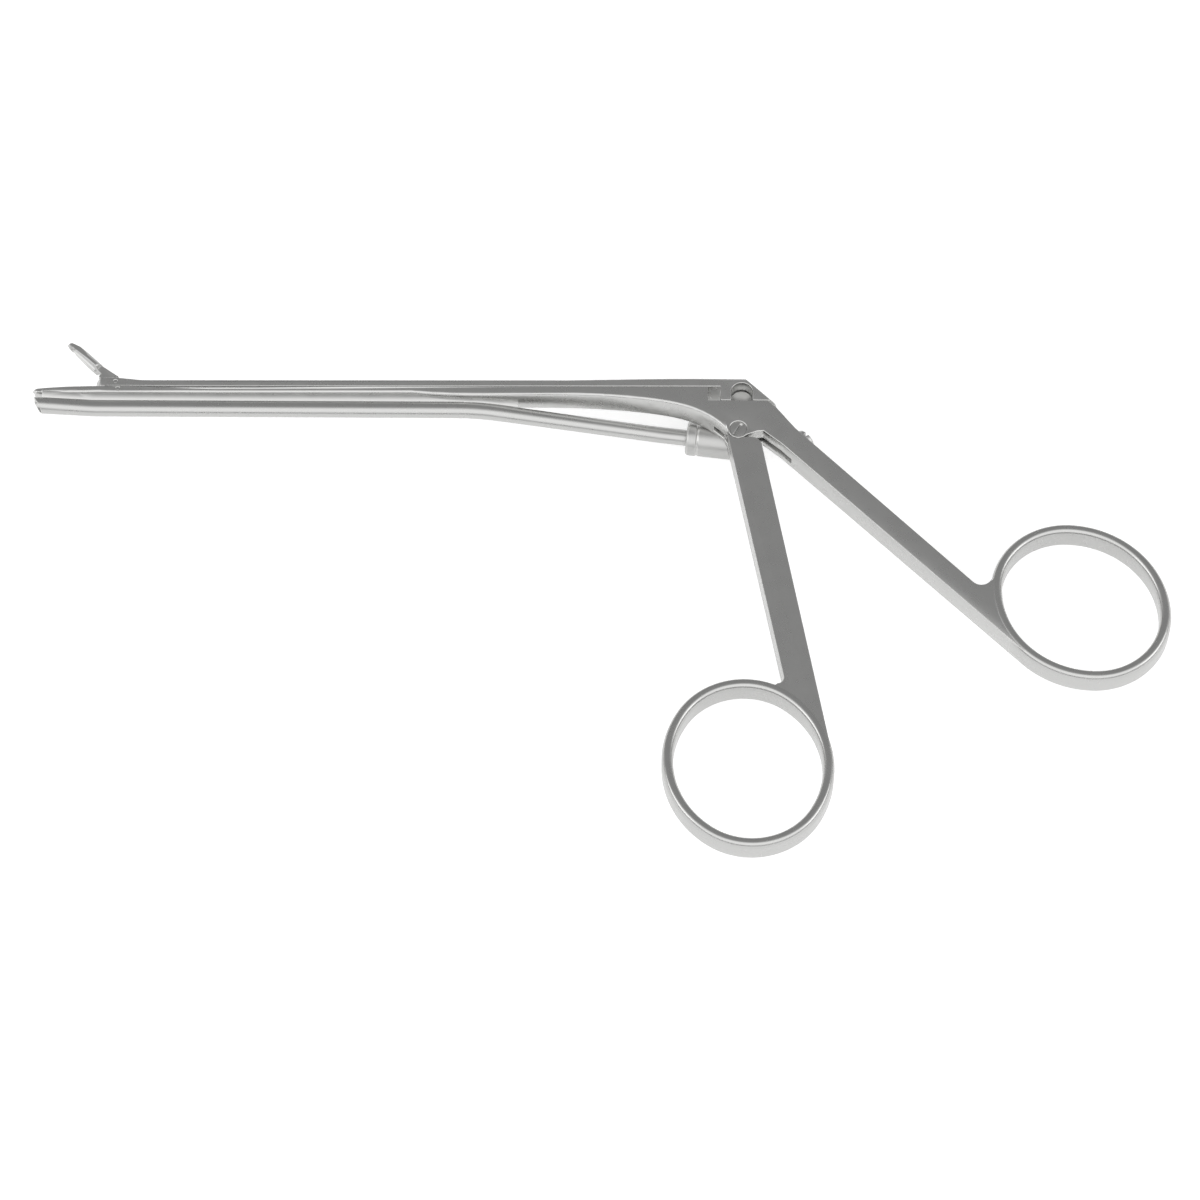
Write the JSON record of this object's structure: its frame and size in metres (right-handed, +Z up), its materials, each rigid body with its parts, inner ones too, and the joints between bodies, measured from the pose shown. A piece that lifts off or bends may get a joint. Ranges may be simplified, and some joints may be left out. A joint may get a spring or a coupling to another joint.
{
  "type": "nasal suction forceps",
  "caption": "Slide-shaft grasping forceps with cupped jaws, two finger rings and a suction tube along the shaft; squeezing the front ring slides the top bar and shuts the jaw",
  "frame": {"origin": "middle of the underside of the instrument lying on its side, jaws open", "axes": "+X from the jaws towards the finger rings along the shaft, +Y across the shaft away from the handles, +Z up, away from the surface it lies on"},
  "size_m": [0.2076, 0.1056, 0.0117],
  "materials": {
    "fixed_body": "satin ground stainless steel",
    "slide_bar": "satin ground stainless steel",
    "upper_jaw": "satin stainless steel",
    "jaw_pivot_pin": "ground flush",
    "jaw_link_pin": "ground flush",
    "front_handle": "satin ground stainless steel",
    "pivot_screw": "turned, flush slotted head",
    "stop_screw": "turned, slotted head",
    "suction_tube": "bright drawn tube",
    "tube_saddle": "satin",
    "suction_connector": "bright turned hub"
  },
  "bodies": {
    "root": {"fixed_body": "fixed_body", "jaw_pivot_pin": "jaw_pivot_pin", "pivot_screw": "pivot_screw", "stop_screw": "stop_screw", "suction_tube": "suction_tube", "tube_saddle": "tube_saddle", "suction_connector": "suction_connector"},
    "handle": {"front_handle": "front_handle"},
    "slider": {"slide_bar": "slide_bar", "jaw_link_pin": "jaw_link_pin"},
    "jaw": {"upper_jaw": "upper_jaw"}
  },
  "joints": [
    {"name": "handle_squeeze", "type": "hinge", "parent": "root", "child": "handle", "pos_m": [0.02612, 0.03345, 0.00905], "axis": [0, 0, 1], "range_deg": [0, 16.16]},
    {"name": "slider_travel", "type": "slide", "parent": "root", "child": "slider", "axis": [-1, 0, 0], "range_m": [0, 0.0022]},
    {"name": "jaw_close", "type": "hinge", "parent": "root", "child": "jaw", "pos_m": [-0.08808, 0.0419, 0.00905], "axis": [0, 0, 1], "range_deg": [0, 44.5]}
  ],
  "couplings": [
    {"joint": "slider_travel", "follows": "handle_squeeze", "m_per_rad": 0.0078},
    {"joint": "jaw_close", "follows": "handle_squeeze", "ratio": 2.7537}
  ]
}
